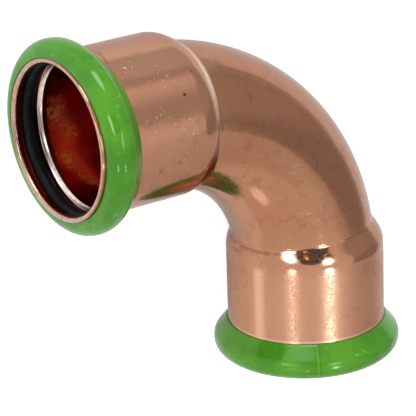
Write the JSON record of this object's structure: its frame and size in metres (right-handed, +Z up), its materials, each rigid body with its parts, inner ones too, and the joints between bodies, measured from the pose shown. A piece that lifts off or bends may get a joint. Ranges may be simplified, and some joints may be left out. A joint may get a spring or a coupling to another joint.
{
  "type": "press fit fitting",
  "caption": "Right-angle copper elbow with a widened press socket at each end, an O-ring inside each end bead and a green plastic indicator ring over it.",
  "frame": {"origin": "middle of the bounding box's base, on the surface that the loose elbow lies on", "axes": "+Z up; the right socket points along +X and the front socket along -Y, each tipped up by 8 degrees as the elbow lies on its two rings and the side of its bend"},
  "size_m": [0.0778, 0.0778, 0.037],
  "materials": {
    "copper": "satin drawn copper, smooth with fine scuffs",
    "black_rubber": "smooth moulded rubber with a faint sheen",
    "green_plastic": "glossy bright green"
  },
  "bodies": {
    "root": {"elbow_body": "copper", "o_ring_front": "black_rubber", "o_ring_right": "black_rubber", "indicator_ring_front": "green_plastic", "indicator_ring_right": "green_plastic"}
  },
  "joints": []
}
